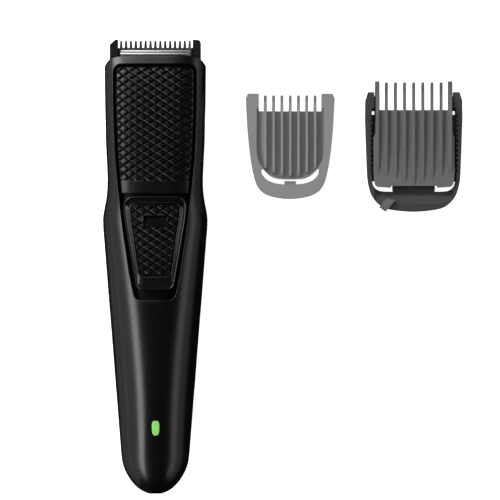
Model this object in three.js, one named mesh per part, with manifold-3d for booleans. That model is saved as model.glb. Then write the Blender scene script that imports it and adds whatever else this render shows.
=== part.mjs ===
// Cordless beard trimmer lying on its back, with its two guide combs beside it.
// Millimetres. +Y runs from the charging end to the blades, +X to the right seen from the front, +Z out of the front face.
// z = 0 is the flat rest land on the back of the handle; the origin is under the handle's own axis.
import * as THREE from "three";
import { mergeVertices } from "three/addons/utils/BufferGeometryUtils.js";
import Module from "manifold-3d";

const wasm = await Module();
wasm.setup();

// ---- driving dimensions -------------------------------------------------
const LENGTH = 163.4; // blade tips to charging end
const TAIL_Y = -LENGTH / 2;
const HOUSING_TOP_Y = 72.6; // where the rear shell stops and the head begins
const FRONT_TOP_Y = 76.1; // the front shell's lip reaches over the head
const WALL = 2.0; // shell wall
const GAP = 0.3; // assembly clearance between touching pieces
const RING = 36; // points round one housing section

// half width of the handle along its length: [y, half width]
const HALF_WIDTH = [
  [-81.7, 2.4], [-80.7, 4.8], [-79.6, 6.4], [-77.5, 8.4], [-75.3, 9.9], [-73.2, 11.0], [-69.9, 11.97], [-66, 12.4],
  [-62.4, 12.69], [-55.2, 13.27], [-48, 13.82], [-40.8, 14.42], [-33.6, 14.97], [-26.4, 15.54], [-19.2, 16.1],
  [-12, 16.71], [-4.8, 17.27], [2.4, 17.83], [9.6, 18.4], [13.2, 18.71], [16.8, 18.84], [20.4, 18.39], [24, 17.7],
  [27.6, 17.27], [31.2, 17.18], [38.4, 17.47], [45.6, 17.8], [52.8, 17.93], [60, 18.12], [67.2, 18.2], [70.8, 18.24],
  [72.3, 18.07], [73, 17.7], [73.7, 17.2], [74.4, 16.4], [74.9, 15.5], [75.2, 14.3], [75.6, 11.6], [75.9, 8.4], [76.1, 5.0],
];
// squareness of the section (2 is an ellipse): round at the charging end, flat-faced at the head
const SQUARE = [[-81.7, 2.0], [-48, 2.05], [-12, 2.35], [16, 2.9], [30, 3.6], [45, 4.2], [76.1, 4.5]];
// front and back faces along the length: [y, z]
const FRONT_Z = [
  [-81.7, 16.6], [-80.7, 18.4], [-79, 20.4], [-76, 22.2], [-72, 23.7], [-66, 25.1], [-56, 26.8], [-40, 29.0], [-25, 30.4],
  [-10, 31.0], [0, 31.0], [10, 30.6], [20, 29.7], [31, 28.6], [45, 27.5], [60, 25.6], [70, 23.4], [76.1, 20.6],
];
const BACK_Z = [
  [-81.7, 11.0], [-80.7, 9.0], [-79, 7.0], [-76, 4.9], [-72, 3.1], [-66, 1.7], [-56, 0.3], [-45, -0.35], [-20, -0.4], [8, -0.35],
  [20, 0.2], [31, 0.8], [45, 1.8], [60, 3.2], [70, 4.7], [76.1, 6.0],
];

// grip panel window, half width along the length: [y, half width]; its top and bottom edges
const WINDOW = [
  [-12, 7.0], [-9.8, 7.4], [-6.9, 8.1], [-4.8, 8.5], [-1.2, 9.2], [4.2, 9.95], [11.4, 11.05], [18.6, 11.95], [22.2, 12.4],
  [26.9, 13.0], [33, 13.6], [38.4, 14.1], [49.2, 14.65], [60, 14.95], [72.8, 15.0],
];
const WINDOW_TOP = 72.8, WINDOW_BOTTOM = -12.0;
const PANEL_SPLIT_Y = 26.1; // grip panel above, slider track below
// power slider, half width along the length
const SLIDER = [[-8.4, 6.0], [-6, 6.9], [0.6, 8.1], [10, 9.75], [21.4, 11.25], [25.3, 11.1]];
const PAD = [[-3.3, 3.9], [-1.5, 5.6], [0.6, 6.0], [10, 7.2], [20.4, 8.5], [22.5, 8.4]];
const SLIDER_TRAVEL = 3.0;

const MOTOR_AXIS_Z = 14.0, MOTOR_R = 9.6, MOTOR_Y = [16, 44];
const CAM_THROW = 0.8;
const ARM_PIVOT_Y = 66.0;
const HINGE_Y = 73.9, HINGE_Z = 5.1; // head hinge, across the back of the head
const BATTERY_R = 7.1, BATTERY_Y = [-68, -18], BATTERY_Z = 11.6;
const GUARD_TEETH = 15, GUARD_PITCH = 1.764;
const CUTTER_TEETH = 13, CUTTER_PITCH = GUARD_PITCH;

// ---- helpers ------------------------------------------------------------
function curve(table) {
  // monotone cubic through the table
  const n = table.length, x = table.map((p) => p[0]), y = table.map((p) => p[1]);
  const d = [], m = new Array(n).fill(0);
  for (let i = 0; i < n - 1; i++) d.push((y[i + 1] - y[i]) / (x[i + 1] - x[i]));
  m[0] = d[0];
  m[n - 1] = d[n - 2];
  for (let i = 1; i < n - 1; i++) m[i] = d[i - 1] * d[i] <= 0 ? 0 : (2 * d[i - 1] * d[i]) / (d[i - 1] + d[i]);
  return (v) => {
    if (v <= x[0]) return y[0];
    if (v >= x[n - 1]) return y[n - 1];
    let i = 0;
    while (v > x[i + 1]) i++;
    const h = x[i + 1] - x[i], t = (v - x[i]) / h, t2 = t * t, t3 = t2 * t;
    return y[i] * (2 * t3 - 3 * t2 + 1) + m[i] * h * (t3 - 2 * t2 + t) + y[i + 1] * (3 * t2 - 2 * t3) + m[i + 1] * h * (t3 - t2);
  };
}
const halfWidth = curve(HALF_WIDTH), frontZ = curve(FRONT_Z), backZ = curve(BACK_Z), square = curve(SQUARE);

function solid(geometry) {
  const g = geometry.index ? geometry.toNonIndexed() : geometry.clone();
  for (const k of Object.keys(g.attributes)) if (k !== "position") g.deleteAttribute(k);
  const merged = mergeVertices(g, 1e-4);
  const tri = new Uint32Array(merged.index.array);
  let s = new wasm.Manifold(new wasm.Mesh({ numProp: 3, vertProperties: merged.attributes.position.array, triVerts: tri }));
  if (s.volume() < 0) {
    for (let i = 0; i < tri.length; i += 3) [tri[i + 1], tri[i + 2]] = [tri[i + 2], tri[i + 1]];
    s = new wasm.Manifold(new wasm.Mesh({ numProp: 3, vertProperties: merged.attributes.position.array, triVerts: tri }));
  }
  return s;
}
function geometryOf(s) {
  const m = s.getMesh(), n = m.numProp, v = new Float32Array(m.numVert * 3);
  for (let i = 0; i < m.numVert; i++) v.set(m.vertProperties.subarray(i * n, i * n + 3), i * 3);
  const g = new THREE.BufferGeometry();
  g.setAttribute("position", new THREE.BufferAttribute(v, 3));
  g.setIndex(new THREE.BufferAttribute(m.triVerts, 1));
  g.computeVertexNormals();
  return g;
}
function shapeOf(points) {
  const s = new THREE.Shape();
  s.setFromPoints(points.map((p) => new THREE.Vector2(p[0], p[1])));
  return s;
}
function extruded(points, depth) {
  return new THREE.ExtrudeGeometry(shapeOf(points), { depth, bevelEnabled: false, steps: 1 });
}
const V = (x, y, z) => new THREE.Vector3(x, y, z);
function prismXY(points, z0, z1) {
  return solid(extruded(points, z1 - z0).translate(0, 0, z0));
}
function prismYZ(points, x0, x1) {
  const m = new THREE.Matrix4().makeBasis(V(0, 1, 0), V(0, 0, 1), V(1, 0, 0));
  return solid(extruded(points, x1 - x0).applyMatrix4(m).translate(x0, 0, 0));
}
function prismXZ(points, y0, y1) {
  const m = new THREE.Matrix4().makeBasis(V(1, 0, 0), V(0, 0, 1), V(0, -1, 0));
  return solid(extruded(points, y1 - y0).applyMatrix4(m).translate(0, y1, 0));
}
function box(x0, x1, y0, y1, z0, z1) {
  return solid(new THREE.BoxGeometry(x1 - x0, y1 - y0, z1 - z0).translate((x0 + x1) / 2, (y0 + y1) / 2, (z0 + z1) / 2));
}
function rodY(x, z, r, y0, y1, seg = 24) {
  return solid(new THREE.CylinderGeometry(r, r, y1 - y0, seg).translate(x, (y0 + y1) / 2, z));
}
function rodZ(x, y, r, z0, z1, seg = 20) {
  return solid(new THREE.CylinderGeometry(r, r, z1 - z0, seg).rotateX(Math.PI / 2).translate(x, y, (z0 + z1) / 2));
}
function rodX(y, z, r, x0, x1, seg = 16) {
  return solid(new THREE.CylinderGeometry(r, r, x1 - x0, seg).rotateZ(Math.PI / 2).translate((x0 + x1) / 2, y, z));
}
function roundedRect(cx, cy, hx, hy, r, seg = 3) {
  const p = [];
  for (const [sx, sy, a0] of [[1, 1, 0], [-1, 1, 90], [-1, -1, 180], [1, -1, 270]])
    for (let i = 0; i <= seg; i++) {
      const a = ((a0 + (90 * i) / seg) * Math.PI) / 180;
      p.push([cx + sx * (hx - r) + r * Math.cos(a), cy + sy * (hy - r) + r * Math.sin(a)]);
    }
  return p;
}
// closed outline, symmetric in x, from a half-width table; corners rounded by radius rt at the top and rb at the bottom
function taperedOutline(table, y0, y1, grow, rt, rb, n = 10) {
  const f = curve(table), a = y0 - grow, b = y1 + grow, right = [];
  const w = (y) => f(Math.min(Math.max(y, y0), y1)) + grow;
  for (let i = 0; i <= 4; i++) {
    const t = (i / 4) * (Math.PI / 2);
    right.push([w(a + rb) - rb + rb * Math.sin(t), a + rb - rb * Math.cos(t)]);
  }
  for (let i = 1; i < n; i++) {
    const y = a + rb + ((b - rt - a - rb) * i) / n;
    right.push([w(y), y]);
  }
  for (let i = 0; i <= 4; i++) {
    const t = (i / 4) * (Math.PI / 2);
    right.push([w(b - rt) - rt + rt * Math.cos(t), b - rt + rt * Math.sin(t)]);
  }
  return right.concat(right.map(([x, y]) => [-x, y]).reverse());
}
// one section of the handle, grown by d (negative is inside); the back is clipped flat at the rest land
function section(y, d) {
  const w = Math.max(halfWidth(y) + d, 0.4);
  const zf = frontZ(y) + d, zb = backZ(y) - d, zm = zb + (zf - zb) * 0.47;
  const floor = -Math.min(d, 0), pts = [];
  for (let i = 0; i < RING; i++) {
    const t = (2 * Math.PI * i) / RING, c = Math.cos(t), s = Math.sin(t);
    const e = 2 / (s >= 0 ? square(y) : 0.5 * square(y) + 1.35);
    const x = w * Math.sign(c) * Math.abs(c) ** e;
    const z = zm + (s >= 0 ? zf - zm : zm - zb) * Math.sign(s) * Math.abs(s) ** e;
    pts.push(V(x, y, Math.max(z, floor)));
  }
  return pts;
}
function loft(rings) {
  const n = rings[0].length, pos = [], idx = [];
  rings.forEach((r) => r.forEach((p) => pos.push(p.x, p.y, p.z)));
  for (let k = 0; k < rings.length - 1; k++)
    for (let i = 0; i < n; i++) {
      const a = k * n + i, b = k * n + ((i + 1) % n), c = a + n, d = b + n;
      idx.push(a, c, b, b, c, d);
    }
  for (const [k, flip] of [[0, false], [rings.length - 1, true]]) {
    const c = rings[k].reduce((s, p) => s.add(p), V(0, 0, 0)).multiplyScalar(1 / n), ci = pos.length / 3;
    pos.push(c.x, c.y, c.z);
    for (let i = 0; i < n; i++) {
      const a = k * n + i, b = k * n + ((i + 1) % n);
      flip ? idx.push(ci, b, a) : idx.push(ci, a, b);
    }
  }
  const g = new THREE.BufferGeometry();
  g.setAttribute("position", new THREE.Float32BufferAttribute(pos, 3));
  g.setIndex(idx);
  return solid(g);
}
function handleSolid(d, stations) {
  return loft(stations.map((y) => section(y, d)));
}
const OUTER_Y = [-81.7, -80.9, -79.6, -77.5, -75, -72, -66, -55, -40, -20, -5, 8, 13, 17, 21, 25, 31, 42, 55, 66, 70.4, HOUSING_TOP_Y];
const INNER_Y = [-79.6, -78.6, -77, -74.5, -70, -62, -50, -35, -15, 3, 13, 17, 21, 25, 31, 45, 60, 67, 71.6, 72.4, 73.2];
const MID_Y = [-14, -8, 0, 8, 13, 17, 21, 25, 31, 42, 55, 66, 72.4, 73.4, 74.2];
const outer = handleSolid(0, OUTER_Y), inner = handleSolid(-WALL, INNER_Y);
const skin = (d) => handleSolid(d, MID_Y);

const root = new THREE.Group();
function material(color, roughness, metalness) {
  return new THREE.MeshStandardMaterial({ color, roughness, metalness });
}
function add(name, s, mat) {
  const mesh = new THREE.Mesh(geometryOf(s), mat.clone());
  mesh.name = name;
  root.add(mesh);
  return mesh;
}
const BLACK = material(0x0b0b0c, 0.3, 0), SATIN = material(0x17181a, 0.45, 0), GREY = material(0x3c3e42, 0.38, 0.3);
const STEEL = material(0xc6c8cb, 0.25, 1), GREEN = material(0x8fd672, 0.3, 0), RUBBER = material(0x141415, 0.85, 0);
const COPPER = material(0xb57a3c, 0.35, 1), PCB = material(0x1f5a34, 0.5, 0), CELL = material(0x355c8c, 0.45, 0);
const LIGHT_COMB = material(0x77787a, 0.4, 0), DARK_COMB = material(0x2c2d2f, 0.4, 0), LEVER = material(0x6a6c6f, 0.4, 0);

// ---- housing ------------------------------------------------------------
// the parting line runs level along the flanks and climbs over the charging end, so the rear shell wraps it
const PART_LINE = [[-90, 18.6], [-80.2, 18.6], [-77, 17.6], [-72, 16.0], [-66, 15.2], [90, 15.2]];
const above = prismYZ([[90, 40], [-90, 40], ...PART_LINE.map(([y, z]) => [y, z + GAP / 2])], -30, 30);
const below = prismYZ([...PART_LINE.map(([y, z]) => [y, z - GAP / 2]), [90, -10], [-90, -10]].reverse(), -30, 30);
const tube = outer.subtract(inner);
const windowCut = prismXY(taperedOutline(WINDOW, WINDOW_BOTTOM, WINDOW_TOP, 0, 2.9, 3.0), 12, 45);
const ledCut = prismXY(roundedRect(0.23, -57.9, 1.75, 3.05, 1.5), 18, 40);
const lipOuter = handleSolid(0, [70.4, 71.6, 72.6, 73.3, 74, 74.6, 74.9, 75.2, 75.6, 75.9, FRONT_TOP_Y]);
const lipInner = handleSolid(-WALL, [69, 71.5, 73, 74.2, 75, 75.6]).add(box(-14.2, 14.2, 71, 78, 0, 18.2));
const lip = lipOuter.subtract(lipInner).intersect(prismYZ([[70.6, 16.6], [80, 16.6], [80, 40], [70.6, 40]], -30, 30));
const frontShell = tube.intersect(above).add(lip).subtract(windowCut).subtract(ledCut);
add("front_shell", frontShell, BLACK);

const INLET = { x: 5.1, z0: 5.3, z1: 11.9 }; // hole in the rear shell round the charging socket
const ears = box(7, 9, 70.6, 74.7, 4.2, 6.2).add(box(-9, -7, 70.6, 74.7, 4.2, 6.2));
let rearShell = tube.intersect(below).subtract(box(-INLET.x, INLET.x, -84, -70, INLET.z0, INLET.z1));
rearShell = rearShell.subtract(box(-3.6, 3.6, 71.8, 75, 0, 7.8)).add(ears);
// bosses for the four case screws
const BOSS = [[-11.2, 55, 6.2], [11.2, 55, 6.2], [-8.2, -72.2, 7.8], [8.2, -72.2, 7.8]];
for (const [x, y, z] of BOSS) rearShell = rearShell.add(rodZ(x, y, 2.2, z - 2.6, z + 4, 14));
for (const [x, y, z] of BOSS) rearShell = rearShell.subtract(rodZ(x, y, 1.15, -3, z + 6, 14)).subtract(rodZ(x, y, 2.0, -3, z - 3.2 + 2.4, 14));
rearShell = rearShell.intersect(outer.add(ears));
add("rear_shell", rearShell, BLACK);
BOSS.forEach(([x, y, z], i) => {
  const s = rodZ(x, y, 1.7, z - 2.4, z - 1.1 + 0.2, 14).add(rodZ(x, y, 0.8, z - 1.2, z + 3.2, 14));
  add("case_screw_" + (i + 1), s.subtract(box(x - 1.1, x + 1.1, y - 0.25, y + 0.25, z - 3, z - 1.9)), STEEL);
});

// ---- front face: grip panel and slider track ------------------------------
const upperHalf = prismXY([[-25, PANEL_SPLIT_Y + GAP / 2], [25, PANEL_SPLIT_Y + GAP / 2], [25, 90], [-25, 90]], 5, 45);
const lowerHalf = prismXY([[-25, -40], [25, -40], [25, PANEL_SPLIT_Y - GAP / 2], [-25, PANEL_SPLIT_Y - GAP / 2]], 5, 45);
const flangeCut = prismXY(taperedOutline(WINDOW, WINDOW_BOTTOM, WINDOW_TOP, 1.0, 3.2, 3.2), 16.2, 45);
const panelCut = prismXY(taperedOutline(WINDOW, WINDOW_BOTTOM, WINDOW_TOP, -0.9, 2.4, 2.4), 16.2, 45);
const s33 = skin(-3.3), s23 = skin(-2.3);
const flange = s23.subtract(s33).intersect(flangeCut);
const raised = skin(-0.8).subtract(s33).intersect(panelCut);
add("grip_panel", flange.add(raised).intersect(upperHalf), SATIN);
const stemSlot = box(-2.6, 2.6, 4 - SLIDER_TRAVEL - 0.6, 10.6, 10, 45);
add("slider_track", flange.intersect(lowerHalf).subtract(stemSlot), BLACK);

// ---- power slider ---------------------------------------------------------
const sliderOut = prismXY(taperedOutline(SLIDER, -8.4, 25.3, 0, 3.4, 2.6), 10, 45);
const padPocket = prismXY(taperedOutline(PAD, -3.3, 22.5, GAP, 2.4, 2.4), 10, 45);
const padOut = prismXY(taperedOutline(PAD, -3.3, 22.5, 0, 2.2, 2.2), 10, 45);
const s10 = skin(-1.0);
add("power_slider_frame", skin(0.9).subtract(skin(-1.9)).intersect(sliderOut).subtract(padPocket.subtract(s10)), GREY);
const thumbNotch = prismYZ([[18.2, 29.6], [18.2, 36], [12.6, 36], [14.4, 30.0]], -3.6, 4.4);
add("power_slider_pad", skin(0.4).subtract(skin(-0.7)).intersect(padOut).subtract(thumbNotch), SATIN);
add("slider_stem", box(-2, 2, 4, 10, 24.2, 28.3), SATIN);

// ---- electronics ------------------------------------------------------------
add("circuit_board", prismXY([[-7.2, -61], [7.2, -61], [9.2, 12], [-9.2, 12]], 20.0, 21.1), PCB);
add("slide_switch", box(-3.6, 3.6, 0, 12, 21.4, 23.0).add(box(-1.1, 1.1, 5.6, 8.4, 22.9, 23.9)), STEEL);
add("led", rodZ(0.23, -57.9, 1.3, 21.4, 23.2, 16), GREEN);
add("led_window", prismXY(roundedRect(0.23, -57.9, 1.42, 2.7, 1.2), 23.5, 35).intersect(outer), GREEN);
add("microcontroller", box(-3, 3, -22, -16, 21.4, 22.5), BLACK);
add("charge_coil", rodZ(0, -36, 4.2, 21.4, 23.6, 20).subtract(rodZ(0, -36, 1.8, 21, 24, 16)), COPPER);

const cell = rodY(0, BATTERY_Z, BATTERY_R, BATTERY_Y[0], BATTERY_Y[1] - 1.2, 28).add(rodY(0, BATTERY_Z, 2.6, BATTERY_Y[1] - 1.3, BATTERY_Y[1], 20));
add("battery_cell", cell, CELL);
add("battery_tab_plus", box(-4, 4, BATTERY_Y[1] + GAP, BATTERY_Y[1] + GAP + 0.5, 7, 19.6), STEEL);
add("battery_tab_minus", box(-4, 4, BATTERY_Y[0] - GAP - 0.5, BATTERY_Y[0] - GAP, 7, 19.0), STEEL);

// charging socket: a box with a flat rim, open towards the end of the handle, two pins in its floor
const RIM_Y = -78.9, MOUTH = { x: 3.6, z0: 6.4, z1: 10.9 };
const socket = box(-4.8, 4.8, RIM_Y, -69.6, 5.5, 11.6).subtract(box(-MOUTH.x, MOUTH.x, RIM_Y - 2, -71, MOUTH.z0, MOUTH.z1));
add("charging_socket", socket, SATIN);
for (const [i, x] of [[1, -1.7], [2, 1.7]]) add("socket_pin_" + i, rodY(x, 8.6, 0.6, -73.6, -71.3, 12), STEEL);

// ---- drive ------------------------------------------------------------------
add("motor_can", rodY(0, MOTOR_AXIS_Z, MOTOR_R, MOTOR_Y[0], MOTOR_Y[1], 32).add(rodY(0, MOTOR_AXIS_Z, 3.2, MOTOR_Y[1] - 0.1, MOTOR_Y[1] + 1.6, 20)).subtract(rodY(0, MOTOR_AXIS_Z, 1.3, MOTOR_Y[1] - 12, MOTOR_Y[1] + 3, 16)), STEEL);
add("motor_shaft", rodY(0, MOTOR_AXIS_Z, 1.0, MOTOR_Y[1] - 11.5, 50.0, 16), STEEL);
const cradle = box(-12.2, 12.2, 24, 34, 2.8, 10.5).subtract(rodY(0, MOTOR_AXIS_Z, MOTOR_R + GAP, 20, 40, 32));
add("motor_cradle", cradle.intersect(handleSolid(-WALL - GAP, INNER_Y)), SATIN);
add("eccentric_cam", rodY(0, MOTOR_AXIS_Z, 3.0, 50.3, 54.0, 24).add(rodY(0, MOTOR_AXIS_Z + CAM_THROW, 0.7, 53.9, 58.4, 14)), SATIN);
// rocking lever: a fork round the cam pin, a hub on the pivot pin and a finger into the cutter carrier
let arm = prismXY([[-3.9, 55.2], [-2.6, 55.2], [-2.6, 60.2], [2.6, 60.2], [2.6, 55.2], [3.9, 55.2], [3.9, 61.6], [2.9, 63.6], [2.9, 68.4], [1.1, 70.6], [1.1, 76.0], [-1.1, 76.0], [-1.1, 70.6], [-2.9, 68.4], [-2.9, 63.6], [-3.9, 61.6]], 12.7, 15.6);
arm = arm.subtract(rodZ(0, ARM_PIVOT_Y, 1.6, 5, 25, 20));
add("drive_arm", arm, SATIN);
add("arm_pivot_pin", rodZ(0, ARM_PIVOT_Y, 1.25, 8.0, 18.2, 20), STEEL);
const bulk = box(-13.2, 13.2, 62.6, 70.6, 6.4, 7.7).add(box(-13.2, 13.2, 62.6, 64.2, 6.4, 10.4));
add("head_bulkhead", bulk.intersect(handleSolid(-WALL - GAP, INNER_Y)), SATIN);
const seal = prismXZ(roundedRect(0, 13.9, 12.6, 3.7, 2), 70.9, 72.2).subtract(box(-2.6, 2.6, 70, 73, 12.2, 16.1));
add("head_seal", seal.intersect(handleSolid(-WALL - GAP, INNER_Y)), RUBBER);

// ---- head -------------------------------------------------------------------
// cutter holder: tray across the back of the head with a lug at each side and a hinge knuckle
const lugL = prismXY([[-16.4, 73.1], [-13.5, 73.1], [-13.5, 81.7], [-14.4, 81.7], [-16.4, 79.9]], 6.6, 15.6);
const lugR = prismXY([[16.4, 73.1], [16.4, 80.6], [16.0, 81.4], [15.2, 81.7], [13.5, 81.7], [13.5, 73.1]], 6.6, 15.6);
const tray = prismYZ([[73.1, 6.6], [78.9, 7.4], [78.9, 9.3], [73.1, 9.3]], -15.5, 15.5);
const knuckle = rodX(HINGE_Y, HINGE_Z, 1.55, -3.2, 3.2).add(box(-3.2, 3.2, 73.2, 75.0, 5.4, 7.0)).subtract(rodX(HINGE_Y, HINGE_Z, 0.85, -5, 5));
add("cutter_holder", tray.add(lugL).add(lugR).add(knuckle), BLACK);
add("head_hinge_pin", rodX(HINGE_Y, HINGE_Z, 0.6, -6.7, 6.7), STEEL);

function teeth(n, pitch, xHalf, y0, yRoot, yTip, base, tip) {
  const p = [[-xHalf, y0], [xHalf, y0], [xHalf, yRoot]];
  for (let i = n - 1; i >= 0; i--) {
    const x = (i - (n - 1) / 2) * pitch;
    p.push([x + base / 2, yRoot], [x + tip / 2, yTip], [x - tip / 2, yTip], [x - base / 2, yRoot]);
  }
  p.push([-xHalf, yRoot]);
  return p;
}
add("fixed_blade", prismXY(teeth(GUARD_TEETH, GUARD_PITCH, 13.1, 73.6, 78.7, 81.5, 1.1, 0.7), 9.7, 10.9), STEEL);
add("moving_blade", prismXY(teeth(CUTTER_TEETH, CUTTER_PITCH, 12.5, 74.4, 78.7, 81.0, 0.85, 0.55), 11.2, 12.0), STEEL);
const carrier = box(-12.5, 12.5, 74.4, 77.0, 12.3, 15.4).subtract(box(-1.9, 1.9, 74, 76.4, 12, 16));
add("blade_carrier", carrier, STEEL);
for (const [i, x] of [[1, -11.5], [2, 11.5]]) add("blade_screw_" + i, rodZ(x, 75.6, 1.0, 7.6 - 2.2, 6.3, 14), STEEL);
const wire = new THREE.CatmullRomCurve3([V(-12.4, 74.2, 16.1), V(-7, 73.7, 16.1), V(0, 75.3, 16.1), V(7, 73.7, 16.1), V(12.4, 74.2, 16.1)]);
const round = new THREE.Shape();
round.absarc(0, 0, 0.3, 0, Math.PI * 2, false);
add("blade_spring", solid(new THREE.ExtrudeGeometry(round, { steps: 16, curveSegments: 3, bevelEnabled: false, extrudePath: wire })), STEEL);

// ---- guide combs ----------------------------------------------------------------
// mirrors the right-hand half of an outline, listed from the bottom up
const mirrored = (right) => right.concat(right.filter(([x]) => x > 0.001).map(([x, y]) => [-x, y]).reverse());
const slab = (points, z0, z1) => prismXY(points, z0, z1);
// smooth right-hand half through points that start on the middle line
function splineHalf(points, n) {
  const all = [[-points[1][0], points[1][1]], ...points].map(([x, y]) => new THREE.Vector2(x, y));
  return [points[0], ...new THREE.SplineCurve(all).getPoints(n).filter((p) => p.x > 0.4).map((p) => [p.x, p.y])];
}
// rib on a side profile in (y, z), its half width falling linearly from w0 at z0 to w1 at z1
function rib(cx, profile, w0, z0, w1, z1) {
  const half = (z) => w0 + ((w1 - w0) * (z - z0)) / (z1 - z0), n = profile.length, pos = [], idx = [];
  for (const s of [-1, 1]) profile.forEach(([y, z]) => pos.push(cx + s * half(z), y, z));
  const flat = profile.map(([y, z]) => new THREE.Vector2(y, z)), up = THREE.ShapeUtils.area(flat) > 0;
  for (const [a, b, c] of THREE.ShapeUtils.triangulateShape(flat, [])) {
    const t = up === (THREE.ShapeUtils.area([flat[a], flat[b], flat[c]]) > 0);
    up === t ? idx.push(n + a, n + b, n + c, a, c, b) : idx.push(n + a, n + c, n + b, a, b, c);
  }
  for (let i = 0; i < n; i++) {
    const j = (i + 1) % n;
    up ? idx.push(i, j, n + j, i, n + j, n + i) : idx.push(i, n + j, j, i, n + i, n + j);
  }
  const g = new THREE.BufferGeometry();
  g.setAttribute("position", new THREE.Float32BufferAttribute(pos, 3));
  g.setIndex(idx);
  return solid(g);
}
{
  // small comb: a tapered U with a hollow back, a ribbed sole and a curved slot over its foot
  const CX = 48.6, ARM_Z = 13.0, SOLE_Z = 10.4, FLOOR_Z = 11.4;
  const outline = mirrored([...splineHalf([[0, 24.4], [6, 25.1], [9.8, 26.7], [11.9, 29.2], [13.1, 32.6], [14.2, 38.3], [15, 44.7], [15.5, 50.6], [15.8, 56]], 34), [15.95, 59], [16.05, 60.6], [15.3, 62.4]]);
  const hollow = mirrored([[0, 27.0], [5.6, 27.8], [8.4, 29.8], [10.2, 33.2], [11.3, 38.6], [11.3, 65]]);
  const mouth = mirrored([[0, 56.0], [11.3, 56.0], [11.3, 65]]);
  const face = mirrored([...splineHalf([[0, 31.7], [4.6, 32.1], [8.2, 33.9], [10.8, 37.0], [11.9, 40.2], [12.1, 44]], 18), [12.1, 57]]);
  let comb = slab(outline, 0, ARM_Z).subtract(slab(hollow, -1, SOLE_Z)).subtract(slab(mouth, -1, 20)).subtract(slab(face, FLOOR_Z, 20));
  const low = splineHalf([[0, 29.7], [4.5, 29.9], [8.5, 31.4], [10.9, 34.6]], 14), high = splineHalf([[0, 31.4], [4.5, 31.6], [7.5, 32.8], [9.8, 35.1]], 14);
  const halfSlot = [...low.map(([x, y]) => [x, y]), ...high.reverse()];
  const slot = slab([...halfSlot, ...halfSlot.filter(([x]) => x > 0.001).map(([x, y]) => [-x, y]).reverse()], 5, 20);
  comb = comb.subtract(slot.subtract(slab([[-2.1, 29], [2.1, 29], [2.1, 30.8], [-2.1, 30.8]], 4, 12)));
  for (let i = 0; i < 7; i++) {
    const x = (i - 3) * 2.99, foot = 32.3 + (i - 3) ** 2 * 0.32;
    comb = comb.add(rib(x, [[foot, 12.6], [foot, 10.8], [54.6, 10.8], [55.8, 8.0], [61.2, 8.0], [61.8, 8.9], [59.4, 12.4], [55.4, 13.7], [46, 13.7], [foot + 1.6, 13.5], [foot + 0.5, 13.2]], 0.56, 8, 0.42, 13.7));
  }
  add("guide_comb", comb.translate([CX, 0, 0]), LIGHT_COMB);
}
{
  // adjustable comb: a U frame with racks inside its rails, a ribbed sole that slides in it and a lock lever on its foot
  const CX = 93.17, NOTCH = 1.8, FRAME_Z = 12.6;
  const rack = [];
  for (let y = 34; y < 55; y += NOTCH) rack.push([15.2, y], [15.7, y + 0.3], [15.7, y + 0.9], [15.2, y + 1.2]);
  const outer = splineHalf([[0, 19.8], [8.5, 20.6], [12.3, 22.3], [14.9, 25.3], [16.1, 28.7], [16.7, 32.5], [17.06, 41], [17.5, 53.7]], 34);
  const right = [...outer, [17.4, 59.9], [16.5, 62.9], [14.3, 62.9], [14.3, 57.5], [15.2, 57.0], ...rack.reverse(), [15.2, 32.6], [15.1, 30.6], [14.6, 29.0], [13.6, 27.9], [12.2, 27.25], [10.4, 27.05], [7.5, 27.0], [7.7, 28.6]];
  const left = right.slice(1).map(([x, y]) => [-x, y]).reverse();
  // a thin shelf under each rack carries the sole's runners; the foot falls away towards the sole
  let frame = slab([...right, [0, 28.7], ...left], 0, FRAME_Z);
  for (const s of [-1, 1]) frame = frame.add(slab([[s * 12.95, 31.4], [s * 15.0, 30.6], [s * 16.2, 33], [s * 16.2, 61.6], [s * 12.95, 61.6]].slice()[s > 0 ? "slice" : "reverse"](), 0, 0.9)).subtract(box(Math.min(s * 14.15, s * 15), Math.max(s * 14.15, s * 15), 54.9, 56.2, -1, 1.5));
  frame = frame.add(box(-7.6, 7.6, 28.4, 31, 0, 8.6));
  frame = frame.subtract(prismYZ([[22.6, 12.7], [29.4, 9.0], [29.4, 20], [22.6, 20]], -14.2, 14.2));
  add("comb_frame", frame.translate([CX, 0, 0]), DARK_COMB);
  const sole = mirrored([[0, 29.1], [8.0, 29.1], [8.6, 28.4], [13.2, 28.75], [14.0, 29.4], [14.4, 31.0], [14.6, 34.5], [14.6, 46.4], [13.9, 48.2], [13.8, 56.4]]);
  let comb = slab(sole, 12.0, 13.8);
  for (const s of [-1, 1]) comb = comb.add(box(Math.min(s * 13.2, s * 14.2), Math.max(s * 13.2, s * 14.2), 36, 47, 1.2, 12.4));
  for (let i = 0; i < 9; i++) {
    const x = (i - 4) * 3.29, w = i === 0 || i === 8 ? 0.8 : 0.55, tip = i === 0 || i === 8 ? 66.9 : 66.5, foot = 33.6 - (4 - Math.abs(i - 4)) * 1.0;
    comb = comb.add(rib(x, [[foot, 13.9], [foot, 12.2], [54.6, 12.2], [56, 9.2], [tip - 1, 7.8], [tip, 8.8], [62.5, 12.8], [55.4, 15.0], [44, 14.9], [foot + 2.5, 14.4]], w, 9, w * 0.6, 15));
  }
  add("adjustable_comb", comb.translate([CX, 0, 0]), DARK_COMB);
  add("comb_lock_lever", slab([[-12.6, 21.4], [-10.3, 19.7], [-6.7, 24.0], [-10.0, 24.6]], FRAME_Z + GAP, FRAME_Z + 1.6).translate([CX, 0, 0]), LEVER);
}

export default root;
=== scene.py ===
import math
import bpy
import numpy as np
from mathutils import Matrix, Vector


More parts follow.
